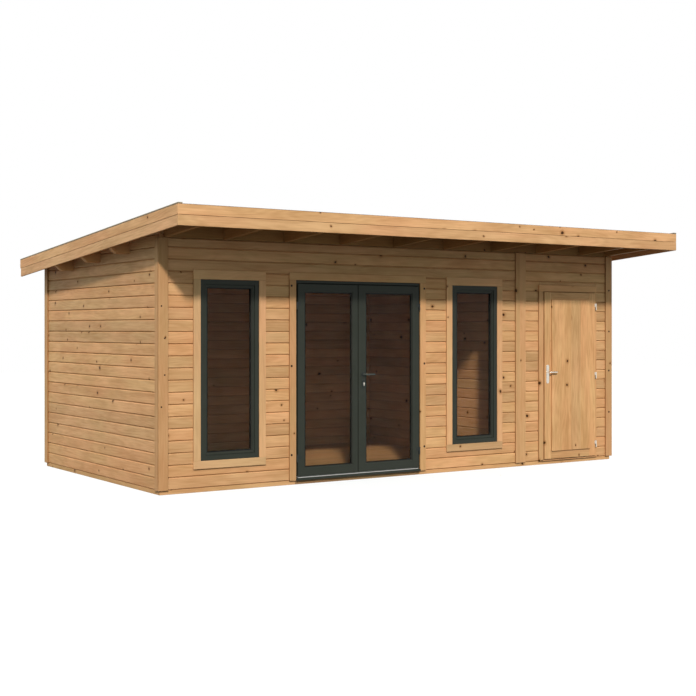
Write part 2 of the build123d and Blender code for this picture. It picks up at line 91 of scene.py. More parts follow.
# Knots: cells of a grid along the board, and sizes as shares of a cell
KNOT_SCALE = 4.0
KNOT_SPREAD = (0.84, 0.92, 0.0)
KNOT_WANDER = (0.035, 0.02, 0.0)
KNOT_WANDER_SCALE = 14.0
KNOT_SIZE_SHARES = (0.022, 0.054)
KNOT_HALO = (0.31, 0.125, 0.040, 1.0)
HALO_REACH = (3.2, 0.9)
HALO_STRENGTH = 0.6
KNOT_HEART = (0.030, 0.009, 0.001, 1.0)
HEART_REACH = (1.15, 0.85)
HEART_STRENGTH = 0.95

# Corner boards, joint covers and the double door's casing
CORNER_FRONT = 0.100
CORNER_SIDE = 0.086
TRIM_THICKNESS = 0.018
CORNER_TONES = (0.0, 0.12)
JOINT_COVER = 0.065
JOINT_STRIP = 0.086
JOINT_STRIP_THICKNESS = 0.010
FRAME_COVER = 0.040
HEAD_COVER = 0.026

# Store door
SHED_GAP = 0.008
SHED_JAMB = 0.040
SHED_HINGE_JAMB = 0.022
SHED_STOP = 0.020
SHED_STOP_GAP = 0.005
PANEL_BOARDS = 4
PANEL_GROOVE = 0.0008
PANEL_RISE = 0.015
LEAF_TONES = (0.35, 0.7)

# Base
BEARER_WIDTH = 0.070
ROOM_JOISTS = 6
SHED_JOISTS = 1

# Roof
FELT_THICKNESS = 0.003
FELT_STRIPS = 5
FELT_LAP = 0.08
FELT_LAP_RISE = 0.0025
FELT_EASE = 0.0008
FASCIA_HEIGHT = 0.190
FASCIA_GAP = 0.002
DECK_THICKNESS = 0.018
RAFTER_UNDER = 0.168
LOOKOUT_UNDER = 0.240
LATH_THICKNESS = 0.010
DECK_UNDER = FELT_THICKNESS + DECK_THICKNESS
FASCIA_BOARD = (FASCIA_HEIGHT - FELT_THICKNESS - FASCIA_GAP) / 2
TAIL_UNDER = FELT_THICKNESS + FASCIA_BOARD
FASCIA_TONES = (0.35, 0.7)
LATH_WIDTH = 0.045
RAFTER_WIDTH = 0.045
FIRST_RAFTER = 0.710
RAFTER_PITCH = 0.660
RAFTER_ROOM_SHARE = 1.5
LOOKOUT_WIDTH = 0.060
LOOKOUT_PITCH = 0.728
LOOKOUT_CUT = 0.055
LOOKOUT_END_DROP = 0.004
LOOKOUT_END_UNDER = FASCIA_HEIGHT + LOOKOUT_END_DROP

# Dark frames and their glass: insets from an outline, and setbacks from the front of each piece
WINDOW_FRAME_WIDTH = 0.046
SASH_WIDTH = 0.036
SASH_SETBACK = 0.008
BEAD_WIDTH = 0.016
BEAD_SETBACK = 0.007
BEAD_SLOPE = 0.004
SASH_GAP = 0.0025
SASH_GAP_DEPTH = 0.004
FRAME_ROUND = 0.0025
ROUND_SHARE = 0.3
PANE_THICKNESS = 0.004
PANE_EASE = 0.0005
SPACER_WIDTH = 0.011
GASKET_WIDTH = 0.007
GASKET_RISE = 0.0015
GASKET_SEAT = 0.002
PANE_COVER = 0.008
REAR_SPLAY = 0.012

# Double door's frame and threshold
FRAME_SHOW = 0.013
LEAF_GAP = 0.008
STOP_OVERLAP = 0.012
STOP_DEPTH = 0.020
THRESHOLD_SETBACK = 0.022
THRESHOLD_TREAD = 0.010
THRESHOLD_LIP = 0.006
THRESHOLD_SPLAY = 0.016
TREAD_RIBS = 3
RIB_PITCH = 0.006
RIB_DEPTH = 0.0012
RIB_SHARES = ((0, 0), (0.2, 1), (0.6, 1), (0.8, 0))
UPSTAND_WIDTH = 0.007
UPSTAND_ROUND = 0.0015

# Screws and plugs: those of a corner board lie at a share of its width and a height
SCREW_RADIUS = 0.0080
PLUG_RADIUS = 0.0115
SCREW_RISE = 0.0012
SCREW_SIDES = 10
SCREW_RING_SHARES = ((1.0, 0.0), (1.0, 0.5), (0.8, 1.0), (0.35, 1.0), (0.25, 0.4))
LEFT_CORNER_SCREWS = ((0.31, 0.815), (0.64, 1.11), (0.64, 1.448), (0.31, 1.746))
RIGHT_CORNER_SCREWS = ((0.5, 0.56), (0.5, 1.045), (0.5, 1.505), (0.5, 1.985))
CASING_SCREWS = (0.295, 1.17, 1.96)
CASING_SCREW_INSET = 0.022

# Where the photograph was taken from
CAMERA_PLACE = (-7.757, -11.6577, 1.5369)
CAMERA_TURN = -33.595
LENS = 64.02
SENSOR = 36.0
FRAME_SHIFT = -0.0277

# Light: a soft key from the front left, and a fill that is stronger from behind
KEY_TRAVEL = (0.472, 0.805, -0.602)
KEY_STRENGTH = 3.1
KEY_SOFTNESS = 4.0
KEY_COLOUR = (1.0, 0.965, 0.92)
FILL_STRENGTH = 0.71
FILL_COLOUR = (0.87, 1.03, 1.02, 1.0)
BACK_FILL = 0.8
BACK_FILL_FROM = (0.5, 0.866, 0.0)
BACK_FILL_RANGE = (0.1, 0.8)
FLOOR_SIZE = 60.0
FLOOR_PALE = 0.8
FLOOR_BOUNCE = 0.13
FLOOR_GLOW = 1.16
FLOOR_GLOW_SHARE = 0.65

# Sockets of a Mix node that take and give colours
MIX_FIRST = 6
MIX_SECOND = 7
MIX_RESULT = 2


def corners(node):
    """Lowest and highest corner of a solid, as arrays."""
    low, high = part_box(node)
    return np.array(low), np.array(high)


def build(name, points, faces, **fields):
    """Mesh object made from whole arrays; each field is kept at the points for the finishes to read."""
    mesh = bpy.data.meshes.new(name)
    mesh.from_pydata(points.reshape(-1, 3).tolist(), [], faces)
    for field, values in fields.items():
        flat = np.ascontiguousarray(values, np.float32)
        vector = flat.shape[-1] == 3 and flat.ndim == 4
        made = mesh.attributes.new(field, "FLOAT_VECTOR" if vector else "FLOAT", "POINT")
        made.data.foreach_set("vector" if vector else "value", flat.ravel())
    mesh.update()
    piece = bpy.data.objects.new(name, mesh)
    bpy.context.scene.collection.objects.link(piece)
    return piece


def tube_faces(index):
    """Faces of tubes with points numbered by tube, ring and place: the sides, then a cap at each end."""
    following = np.roll(index, -1, axis=2)
    sides = np.stack([index[:, :-1], following[:, :-1], following[:, 1:], index[:, 1:]], axis=3)
    return sides.reshape(-1, 4).tolist() + index[:, 0, ::-1].tolist() + index[:, -1].tolist()


def carry(name, centres, wides, deeps, eases, corner_points, tones=ANY_TONE):
    """Boards: a rectangle with rounded corners, carried through the rings of each board.

    A point of a ring is its centre + across * wide direction + through * deep direction. Across and
    through are the corner's centre, which is the half size less the ease, plus the ease times the cosine
    and sine of a turning angle.
    """
    turn = np.linspace(0, math.pi / 2, corner_points)
    angle = (np.arange(4)[:, None] * math.pi / 2 + turn).ravel()
    side_wide = np.repeat([1, -1, -1, 1], corner_points)
    side_deep = np.repeat([1, 1, -1, -1], corner_points)
    run = centres[:, -1:] - centres[:, :1]
    facing = np.sign(np.sum(np.cross(wides, deeps) * run, axis=2, keepdims=True))
    deeps = deeps * facing
    half_wide = np.linalg.norm(wides, axis=2, keepdims=True)
    half_deep = np.linalg.norm(deeps, axis=2, keepdims=True)
    eases = eases[..., None]
    across = side_wide * (half_wide - eases) + eases * np.cos(angle)
    through = side_deep * (half_deep - eases) + eases * np.sin(angle)
    points = centres[:, :, None] + across[..., None] * (wides / half_wide)[:, :, None]
    points = points + through[..., None] * (deeps / half_deep)[:, :, None]

    boards = len(centres)
    along = np.linalg.norm(centres - centres[:, :1], axis=2)[..., None] + 0 * across
    grain = np.stack([along, across, through], axis=3)
    grain = grain + chance.uniform(0, GRAIN_SPREAD, (boards, 1, 1, 3))
    tone = chance.uniform(*tones, (boards, 1, 1)) + 0 * across
    # edge is 1 on one long side of each board (the lower side of a wall board, the left side of an upright
    # one), where the finishes paint the groove's stain and shade
    edge = np.abs(np.cos(angle)) * (side_wide < 0) + 0 * across

    index = np.arange(across.size).reshape(across.shape)
    return build(name, points, tube_faces(index), grain=grain, tone=tone, edge=edge)


def planks(name, boards, ease, corner_points=ROUND_POINTS, tones=ANY_TONE):
    """Straight boards: four rings each, of which the first and last are drawn in to ease the ends."""
    start, end, wide, deep = (np.concatenate(parts) for parts in zip(*boards))
    length = np.linalg.norm(end - start, axis=1, keepdims=True)
    step = (end - start) * ease / length
    centres = np.stack([start, start + step, end - step, end], axis=1)
    drawn_in = ease * END_INSET_SHARE * np.array([1, 0, 0, 1])[None, :, None]

    def drawn(half):
        """Half sizes at the four rings, shorter at the two ends."""
        size = np.linalg.norm(half, axis=1)[:, None, None]
        return half[:, None] * (size - drawn_in) / size

    eases = np.full(centres.shape[:2], ease) - drawn_in[..., 0]
    return carry(name, centres, drawn(wide), drawn(deep), eases, corner_points, tones)


def box_boards(low, high, along, deep):
    """Boards given by their corners: grain along one axis, thickness on another, width on the third."""
    low = np.atleast_2d(np.array(low, float))
    high = np.atleast_2d(np.array(high, float))
    wide = X + Y + Z - along - deep
    middle = (low + high) / 2
    half = (high - low) / 2
    unit = np.eye(3)
    reach = half[:, [along]] * unit[along]
    return middle - reach, middle + reach, half[:, [wide]] * unit[wide], half[:, [deep]] * unit[deep]


felt_low, felt_high = corners("roof_felt")
roof_fall = (felt_high[Z] - felt_low[Z] - FELT_THICKNESS) / (felt_high[Y] - felt_low[Y])


def roof_z(y):
    """Height of the roof's top face at a depth: it falls evenly from front to back."""
    return felt_high[Z] - (y - felt_low[Y]) * roof_fall


def rafter_boards(x0, x1, y0, y1, top_drop, bottom_drop):
    """One board up the roof with plumb ends; its middle is half way between two drops below the top face."""
    drop = (top_drop + bottom_drop) / 2
    start = [[(x0 + x1) / 2, y0, roof_z(y0) - drop]]
    end = [[(x0 + x1) / 2, y1, roof_z(y1) - drop]]
    wide = [[0, 0, (bottom_drop - top_drop) / 2]]
    deep = [[(x1 - x0) / 2, 0, 0]]
    return tuple(np.array(part, float) for part in (start, end, wide, deep))


def purlin_boards(x0, x1, y0, y1, top_drop, bottom_drop):
    """One board across the roof, laid on its fall; its middle is half way between two drops below the top."""
    middle = (y0 + y1) / 2
    height = roof_z(middle) - (top_drop + bottom_drop) / 2
    half = (y1 - y0) / 2
    start = [[x0, middle, height]]
    end = [[x1, middle, height]]
    wide = [[0, half, -half * roof_fall]]
    deep = [[0, 0, (bottom_drop - top_drop) / 2]]
    return tuple(np.array(part, float) for part in (start, end, wide, deep))


def on_edge(boards):
    """The same boards with their broad faces upright."""
    return [(start, end, deep, wide) for start, end, wide, deep in boards]


def courses(base, top):
    """Foot and head of each wall board between two heights."""
    feet = np.arange(base, top - SHORTEST_COURSE, BOARD_PITCH)
    return [(foot, min(foot + BOARD_PITCH, top)) for foot in feet]


def cut_around(board, openings):
    """What is left of a board (x0, x1, z0, z1) beside, under and over the openings."""
    left = [board]
    for a0, a1, c0, c1 in openings:
        parts = []
        for x0, x1, z0, z1 in left:
            if a0 >= x1 or a1 <= x0 or c0 >= z1 or c1 <= z0:
                parts.append((x0, x1, z0, z1))
                continue
            parts += [(x0, a0, z0, z1)] if a0 > x0 else []
            parts += [(a1, x1, z0, z1)] if a1 < x1 else []
            middle = (max(x0, a0), min(x1, a1))
            parts += [(*middle, z0, c0)] if c0 - z0 > SHORTEST_COURSE else []
            parts += [(*middle, c1, z1)] if z1 - c1 > SHORTEST_COURSE else []
        left = parts
    return left


def ring_of_boards(outer, inner, y0, y1, foot=True):
    """Boards round an opening (x0, x1, z0, z1): uprights, a head over them and, where asked, a foot board."""
    ox0, ox1, oz0, oz1 = outer
    ix0, ix1, iz0, iz1 = inner
    base = iz0 if foot else oz0
    boards = [box_boards((ox0, y0, base), (ix0, y1, iz1), Z, Y)]
    boards += [box_boards((ix1, y0, base), (ox1, y1, iz1), Z, Y)]
    boards += [box_boards((ox0, y0, iz1), (ox1, y1, oz1), X, Y)]
    if foot:
        boards += [box_boards((ox0, y0, oz0), (ox1, y1, iz0), X, Y)]
    return boards


def mitred(name, outer, inner, profile, open_foot=False):
    """A profile carried round a rectangle (x0, x1, z0, z1) with mitred corners.

    Each profile point is (edge, offset, depth): an offset inwards from the outer outline when the edge
    is OUTER, or outwards from the inner outline when it is INNER. Straight lengths join the four corners
    of each point's rectangle.
    """
    edge, offset, depth = np.array(profile, float).T
    inwards = np.array([1, -1, 0 if open_foot else 1, -1])[:, None]
    from_outer = np.array(outer)[:, None] + inwards * offset
    from_inner = np.array(inner)[:, None] - inwards * offset
    sides = np.where(edge == OUTER, from_outer, from_inner)
    x = sides[[0, 0, 1, 1]]
    z = sides[[2, 3, 3, 2]]
    points = np.stack([x, depth + 0 * x, z], axis=2)
    index = np.arange(points.shape[0] * points.shape[1]).reshape(points.shape[:2])
    ahead = np.roll(index, -1, axis=0)
    lengths = slice(0, 3) if open_foot else slice(0, 4)
    quads = np.stack([index, ahead, np.roll(ahead, -1, axis=1), np.roll(index, -1, axis=1)], axis=2)[lengths]
    faces = quads.reshape(-1, 4).tolist()
    if open_foot:
        faces += [index[0].tolist(), index[-1, ::-1].tolist()]
    return build(name, points, faces)


def dress(piece, body, slot, finish, *nodes):
    """Puts a finish on a piece, lets it move with a body and stand for solids."""
    piece.data.materials.append(finish)
    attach(piece, body)
    if nodes:
        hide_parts(*nodes)


class Nodes:
    """A node tree, with short calls to add nodes and join them."""

    def __init__(self, tree):
        self.tree = tree

    def add(self, kind, inputs=(), **settings):
        """A node of a kind, with settings; an input is a value, or the socket that feeds it."""
        node = self.tree.nodes.new("ShaderNode" + kind)
        for key, value in settings.items():
            setattr(node, key, value)
        for key, value in dict(inputs).items():
            self.feed(node.inputs[key], value)
        return node

    def feed(self, socket, value):
        """Joins a socket to an input, or sets the input's own value."""
        if isinstance(value, bpy.types.NodeSocket):
            self.tree.links.new(value, socket)
        else:
            socket.default_value = value

    def sums(self, operation, a, b=0.0, c=0.0):
        """One sum of up to three values."""
        return self.add("Math", {0: a, 1: b, 2: c}, operation=operation).outputs[0]

    def stretched(self, vector, scale):
        """Coordinates scaled by axis."""
        return self.add("VectorMath", {0: vector, 1: scale}, operation="MULTIPLY").outputs[0]

    def noise(self, vector, scale, detail, rough):
        """Noise from 0 to 1."""
        inputs = {"Vector": vector, "Scale": scale, "Detail": detail, "Roughness": rough}
        return self.add("TexNoise", inputs).outputs["Fac"]

    def drawn_out(self, vector, scales, detail, rough):
        """Noise with its own scale on each axis."""
        return self.noise(self.stretched(vector, scales), scale=1.0, detail=detail, rough=rough)

    def between(self, value, low, high, to_low=0.0, to_high=1.0):
        """Value moved from one range to another, smoothly and held at its ends."""
        inputs = {"Value": value, "From Min": low, "From Max": high, "To Min": to_low, "To Max": to_high}
        return self.add("MapRange", inputs, interpolation_type="SMOOTHSTEP").outputs[0]

    def seen(self):
        """1 for the rays by which the stage is seen: straight on, in a gloss or through glass."""
        path = self.add("LightPath")
        rays = self.sums("MAXIMUM", path.outputs["Is Camera Ray"], path.outputs["Is Glossy Ray"])
        return self.sums("MAXIMUM", rays, path.outputs["Is Transmission Ray"])


class Recipe(Nodes):
    """Node tree of one finish."""

    def __init__(self, name):
        self.material = bpy.data.materials.new(name)
        self.material.use_nodes = True
        super().__init__(self.material.node_tree)
        self.surface = self.tree.nodes["Principled BSDF"]
        self.output = self.tree.nodes["Material Output"]

    def place(self):
        """Coordinates of the object."""
        return self.add("TexCoord").outputs["Object"]

    def field(self, name, output="Fac"):
        """A value that the mesh keeps at its points."""
        return self.add("Attribute", attribute_name=name).outputs[output]

    def blend(self, factor, a, b, kind="MIX"):
        """Two colours mixed."""
        inputs = {"Factor": factor, MIX_FIRST: a, MIX_SECOND: b}
        return self.add("Mix", inputs, data_type="RGBA", blend_type=kind).outputs[MIX_RESULT]

    def ramp(self, factor, stops):
        """Colour read off a list of (place, colour)."""
        node = self.add("ValToRGB", {"Fac": factor})
        elements = node.color_ramp.elements
        while len(elements) < len(stops):
            elements.new(0.5)
        for element, (place, colour) in zip(elements, stops):
            element.position = place
            element.color = (*colour, 1.0)
        return node.outputs["Color"]

    def tinted(self, colour, factor, stops):
        """Colour multiplied by one that is read off a list of (place, colour)."""
        return self.blend(1.0, colour, self.ramp(factor, stops), "MULTIPLY")

    def bump(self, height, strength, distance):
        """Fine relief of the surface."""
        node = self.add("Bump", {"Height": height, "Strength": strength, "Distance": distance})
        self.feed(self.surface.inputs["Normal"], node.outputs[0])

    def set(self, **values):
        """Sets inputs of the surface by name, with spaces for underscores."""
        for key, value in values.items():
            self.feed(self.surface.inputs[key.replace("_", " ")], value)

    def mixed(self, share, shader):
        """Lets another shader take the place of a share of the surface."""
        mix = self.add("MixShader", {0: share, 1: self.surface.outputs[0], 2: shader.outputs[0]})
        self.feed(self.output.inputs["Surface"], mix.outputs[0])


def wood_figure(wood, grain):
    """Depth of a board's colour, its growth rings and its fibres, all drawn out along the board.

    The rings are the sine of a noise, and the depth is a weighted sum of fibres, rings, streaks and clouds.
    """
    streak = wood.drawn_out(grain, STREAK_SCALE, detail=3.0, rough=0.5)
    sawn = wood.drawn_out(grain, RING_SCALE, detail=1.0, rough=0.4)
    rings = wood.sums("SINE", wood.sums("MULTIPLY", sawn, RING_TURNS))
    rings = wood.sums("MULTIPLY_ADD", rings, 0.5, 0.5)
    fibre = wood.drawn_out(grain, FIBRE_SCALE, detail=2.0, rough=0.6)
    cloud = wood.drawn_out(grain, CLOUD_SCALE, detail=3.0, rough=0.5)
    depth = wood.sums("MULTIPLY_ADD", rings, RING_SHARE, wood.sums("MULTIPLY", fibre, FIBRE_SHARE))
    depth = wood.sums("MULTIPLY_ADD", streak, STREAK_SHARE, depth)
    depth = wood.sums("MULTIPLY_ADD", cloud, CLOUD_SHARE, depth)
    return depth, rings, fibre


def knotted(wood, grain, colour, share):
    """The colour with knots: a dark heart in a soft halo, in a share of the cells along the board."""
    wander = {"Vector": grain, "Scale": KNOT_WANDER_SCALE, "Detail": 1.0}
    wander = wood.add("TexNoise", wander).outputs["Color"]
    place = wood.add("VectorMath", {0: wander, 1: KNOT_WANDER, 2: grain}, operation="MULTIPLY_ADD")
    cells = {"Vector": wood.stretched(place.outputs[0], KNOT_SPREAD), "Scale": KNOT_SCALE}
    cell = wood.add("TexVoronoi", cells, voronoi_dimensions="2D")
    pick = wood.add("SeparateColor", {"Color": cell.outputs["Color"]})
    size = wood.between(pick.outputs["Green"], 0.0, 1.0, *KNOT_SIZE_SHARES)
    nearness = wood.sums("DIVIDE", cell.outputs["Distance"], size)
    chosen = wood.sums("LESS_THAN", pick.outputs["Red"], share)
    halo = wood.sums("MULTIPLY", wood.between(nearness, *HALO_REACH), chosen)
    heart = wood.sums("MULTIPLY", wood.between(nearness, *HEART_REACH), chosen)
    colour = wood.blend(wood.sums("MULTIPLY", halo, HALO_STRENGTH), colour, KNOT_HALO)
    return wood.blend(wood.sums("MULTIPLY", heart, HEART_STRENGTH), colour, KNOT_HEART)


def stained_and_shaded_groove(wood, grain, colour, share):
    """The colour with a dark stain and painted shade in the groove along the board's lower edge (the left
    edge of an upright board), worn away here and there.
    """
    worn = wood.drawn_out(grain, WEAR_SCALE, detail=2.0, rough=0.6)
    worn = wood.between(worn, 0.3, 0.7, 0.7, 1.0)
    edge = wood.between(wood.field("edge"), 0.1, 0.8)
    edge = wood.sums("MULTIPLY", wood.sums("MULTIPLY", edge, share), worn)
    return wood.blend(edge, colour, GROOVE_STAIN_AND_SHADE)


def softwood(name, light, dark, knots=0.42, groove=0.6, figure=1.0):
    """Oiled softwood: figure and knots along each board, its own tone and warmth, and grooves darkened by a
    stain and painted shade.
    """
    wood = Recipe(name)
    grain = wood.field("grain", "Vector")
    depth, rings, fibre = wood_figure(wood, grain)
    reach = FIGURE_REACH / figure
    depth = wood.between(depth, 0.5 - reach, 0.5 + reach)
    colour = wood.blend(depth, (*light, 1.0), (*dark, 1.0))
    colour = wood.tinted(colour, wood.field("tone"), BOARD_TONES)
    blush = wood.drawn_out(grain, BLUSH_SCALE, detail=2.0, rough=0.5)
    colour = wood.tinted(colour, wood.between(blush, 0.3, 0.7), BOARD_WARMTH)
    colour = knotted(wood, grain, colour, knots)
    colour = stained_and_shaded_groove(wood, grain, colour, groove)
    wood.set(Base_Color=colour, Roughness=wood.between(fibre, 0.2, 0.8, 0.52, 0.7), Specular_IOR_Level=0.1)
    wood.bump(wood.sums("MULTIPLY_ADD", rings, 0.25, fibre), strength=0.2, distance=0.001)
    return wood.material


def roofing_felt():
    """Mineral felt: pale and dark grit, faint run-off streaks down the slope, and a tone for each strip."""
    felt = Recipe("roofing_felt")
    place = felt.place()
    grit = felt.noise(place, scale=420.0, detail=2.0, rough=0.7)
    patch = felt.noise(place, scale=3.4, detail=5.0, rough=0.65)
    streak = felt.drawn_out(place, (11.0, 0.5, 0.5), detail=3.0, rough=0.55)
    grains = [(0.0, (0.045, 0.046, 0.05)), (1.0, (0.17, 0.17, 0.175))]
    colour = felt.ramp(felt.between(grit, 0.3, 0.75), grains)
    weather = felt.sums("MULTIPLY_ADD", streak, 0.5, felt.sums("MULTIPLY", patch, 0.5))
    wear = [(0.0, (0.86, 0.86, 0.86)), (1.0, (1.10, 1.09, 1.07))]
    colour = felt.tinted(colour, felt.between(weather, 0.38, 0.62), wear)
    strips = [(0.0, (0.92, 0.92, 0.93)), (1.0, (1.06, 1.06, 1.05))]
    colour = felt.tinted(colour, felt.field("tone"), strips)
    felt.set(Base_Color=colour, Roughness=0.92, Specular_IOR_Level=0.2)
    felt.bump(grit, strength=0.6, distance=0.0015)
    return felt.material


def painted(name, colour, worn, roughness):
    """Powder-coated metal: an even colour with a faint grain and slight differences in gloss."""
    coat = Recipe(name)
    place = coat.place()
    grain = coat.noise(place, scale=900.0, detail=2.0, rough=0.6)
    patch = coat.noise(place, scale=5.0, detail=3.0, rough=0.55)
    base = coat.blend(coat.between(patch, 0.3, 0.75), (*colour, 1.0), (*worn, 1.0))
    gloss = coat.between(patch, 0.2, 0.8, roughness - 0.06, roughness + 0.08)
    coat.set(Base_Color=base, Roughness=gloss, Specular_IOR_Level=0.16)
    coat.bump(grain, strength=0.12, distance=0.0004)
    return coat.material


def bare_metal(name, colour, roughness, along):
    """Brushed metal: bright, with fine scratches along one direction."""
    metal = Recipe(name)
    place = metal.place()
    brush = metal.drawn_out(place, along, detail=3.0, rough=0.6)
    shade = metal.ramp(brush, [(0.2, tuple(0.85 * c for c in colour)), (0.8, colour)])
    gloss = metal.between(brush, 0.2, 0.8, roughness, roughness + 0.15)
    metal.set(Base_Color=shade, Metallic=1.0, Roughness=gloss)
    metal.bump(brush, strength=0.08, distance=0.0005)
    return metal.material


def window_glass():
    """Clear glass with a faint warm tint, which lets lamps shine through."""
    pane = Recipe("window_glass")
    place = pane.place()
    haze = pane.noise(place, scale=3.0, detail=2.0, rough=0.5)
    tint = pane.ramp(haze, [(0.3, (0.90, 0.89, 0.86)), (0.7, (0.94, 0.93, 0.90))])
    pane.set(Base_Color=tint, Transmission_Weight=1.0, Roughness=0.0, IOR=1.12)
    clear = pane.add("BsdfTransparent", {"Color": (0.95, 0.94, 0.92, 1.0)})
    path = pane.add("LightPath")
    through = pane.sums("MAXIMUM", path.outputs["Is Shadow Ray"], path.outputs["Is Diffuse Ray"])
    pane.mixed(through, clear)
    return pane.material


cladding = softwood("wall_boards", (0.690, 0.400, 0.203), (0.452, 0.234, 0.100))
# A darker copy of the wall wood, used only for the bearer under the double door
dark_doorway_wood = softwood("dark_doorway_boards", (0.32, 0.20, 0.105), (0.21, 0.118, 0.052), knots=0.1, groove=0.3)
fascia_wood = softwood(
    "fascia_boards", (0.690, 0.392, 0.202), (0.455, 0.236, 0.106),
    knots=0.4, groove=0.55, figure=1.2,
)
trim_wood = softwood("trim_boards", (0.635, 0.356, 0.176), (0.485, 0.252, 0.109), knots=0.3, groove=0.55)
casing_wood = softwood("casing_boards", (0.685, 0.410, 0.216), (0.515, 0.293, 0.144), knots=0.25, groove=0.4)
door_wood = softwood(
    "door_boards", (0.690, 0.398, 0.195), (0.440, 0.226, 0.094),
    knots=0.3, groove=0.2, figure=1.15,
)
# Roof timbers seen under the eaves: darker than the wall boards, as painted shade of the soffit
shaded_roof_wood = softwood("roof_boards", (0.43, 0.24, 0.095), (0.29, 0.14, 0.048), knots=0.2, groove=0.3)
lookout_wood = softwood("lookout_boards", (0.62, 0.34, 0.155), (0.44, 0.21, 0.085), knots=0.1, groove=0.3)
floor_wood = softwood("floor_boards", (0.57, 0.335, 0.158), (0.39, 0.205, 0.086), knots=0.25, groove=0.5)
lath_wood = softwood("lath_boards", (0.36, 0.30, 0.22), (0.27, 0.21, 0.14), knots=0.1, groove=0.3)
felt = roofing_felt()
anthracite = painted("anthracite_frames", (0.025, 0.028, 0.021), (0.029, 0.032, 0.025), 0.45)
browned = painted("browned_screws", (0.016, 0.006, 0.003), (0.024, 0.010, 0.005), 0.6)
satin = painted("satin_lever", (0.070, 0.076, 0.066), (0.085, 0.092, 0.080), 0.32)
black_rubber = painted("black_rubber", (0.006, 0.005, 0.004), (0.009, 0.008, 0.007), 0.6)
dark_metal = painted("dark_fittings", (0.020, 0.023, 0.022), (0.026, 0.030, 0.028), 0.38)
# The steel's warm tint is a painted reflection of the surrounding timber
steel = bare_metal("brushed_steel", (0.74, 0.69, 0.61), 0.24, (60.0, 60.0, 900.0))
threshold_metal = bare_metal("threshold_aluminium", (0.78, 0.77, 0.73), 0.3, (40.0, 900.0, 900.0))
glass = window_glass()

# Walls
wall_low, wall_high = corners("left_wall")
right_low, right_high = corners("right_wall")
back_low, back_high = corners("back_wall")
split_low, split_high = corners("partition_wall")
base = wall_low[Z]


def stacked(low, high, top, along, deep):
    """Full boards of a wall one over another, from the base up to a height."""
    return [
        box_boards((*low[:2], foot), (*high[:2], head), along, deep)
        for foot, head in courses(base, top)
    ]


def wall(name, boards, *nodes):
    """Wall boards with grooves between them, which stand for solids of the house."""
    dress(planks(name, boards, WALL_GROOVE, CHAMFER_POINTS), "house", "cladding", cladding, *nodes)


def trim(name, boards, wood, *nodes, tones=ANY_TONE):
    """Boards with eased edges that cover joints and edges of the house."""
    dress(planks(name, boards, TRIM_EDGE, tones=tones), "house", "trim", wood, *nodes)


wall("left_wall_boards", stacked(wall_low, wall_high, wall_high[Z], Y, X), "left_wall")
wall("right_wall_boards", stacked(right_low, right_high, right_high[Z], Y, X), "right_wall")


def gable_boards(name):
    """Boards over both side walls: a level foot each, and a head at the lower of its own and the roof's.

    A board runs back to the place where the roof leaves it no more height than the shortest course.
    """
    low, high = corners("gable_panels")
    feet = np.array([foot for foot, head in courses(low[Z], roof_z(low[Y]) - DECK_UNDER)])[:, None]
    run_out = low[Y] + (roof_z(low[Y]) - DECK_UNDER - SHORTEST_COURSE - feet) / roof_fall
    ends = np.minimum(run_out, high[Y])
    y = low[Y] + (ends - low[Y]) * np.linspace(0, 1, GABLE_RINGS)
    half = (np.minimum(feet + BOARD_PITCH, roof_z(y) - DECK_UNDER) - feet) / 2
    middles = [(wall_low[X] + wall_high[X]) / 2, (right_low[X] + right_high[X]) / 2]
    centres = np.concatenate([np.stack([x + 0 * y, y, feet + half], axis=2) for x in middles])
    half = np.concatenate([half, half])
    wides = half[..., None] * np.array([0, 0, 1])
    deeps = (wall_high[X] - wall_low[X]) / 2 * np.array([1, 0, 0]) + 0 * wides
    eases = np.minimum(WALL_GROOVE, half * THIN_EASE_SHARE)
    return carry(name, centres, wides, deeps, eases, CHAMFER_POINTS)


dress(gable_boards("gable_boards"), "house", "cladding", cladding, "gable_panels")

back_top = roof_z(back_high[Y]) - RAFTER_UNDER
wall("back_wall_boards", stacked(back_low, back_high, back_top, X, Y), "back_wall")
split_top = roof_z(split_high[Y]) - RAFTER_UNDER
wall("partition_boards", stacked(split_low, split_high, split_top, Y, X), "partition_wall")


def opening(node):
    """Outline (x0, x1, z0, z1) of a solid, seen from the front."""
    low, high = corners(node)
    return low[X], high[X], low[Z], high[Z]


left_window = opening("left_window_frame")
right_window = opening("right_window_frame")
door_frame = opening("double_door_frame")
door_opening = (door_frame[0], door_frame[1], 0.0, door_frame[3])
shed_frame = opening("shed_door_frame")
shed_opening = (shed_frame[0], shed_frame[1], 0.0, shed_frame[3])
front_low, front_high = corners("front_wall_left")
joint_x = corners("front_wall_middle")[1][X]
shed_right = corners("shed_wall_right")[1][X]
front_top = roof_z(front_high[Y]) - RAFTER_UNDER


def front_boards(x0, x1, openings):
    """Boards of the front wall between two places, cut round the openings."""
    rows = [
        part
        for foot, head in courses(base, front_top)
        for part in cut_around((x0, x1, foot, head), openings)
    ]
    low = [(a, front_low[Y], c) for a, b, c, d in rows]
    high = [(b, front_high[Y], d) for a, b, c, d in rows]
    return [box_boards(low, high, X, Y)]


room_front = front_boards(front_low[X], joint_x, (left_window, door_opening, right_window))
wall("room_front_boards", room_front, "front_wall_left", "double_door_lintel", "front_wall_middle")
shed_front = front_boards(joint_x, shed_right, (shed_opening,))
wall("store_front_boards", shed_front, "shed_wall_left", "shed_door_lintel", "shed_wall_right")

# Corner boards: the front or back board of each pair covers the side board's edge
trim_low, trim_high = corners("corner_boards")


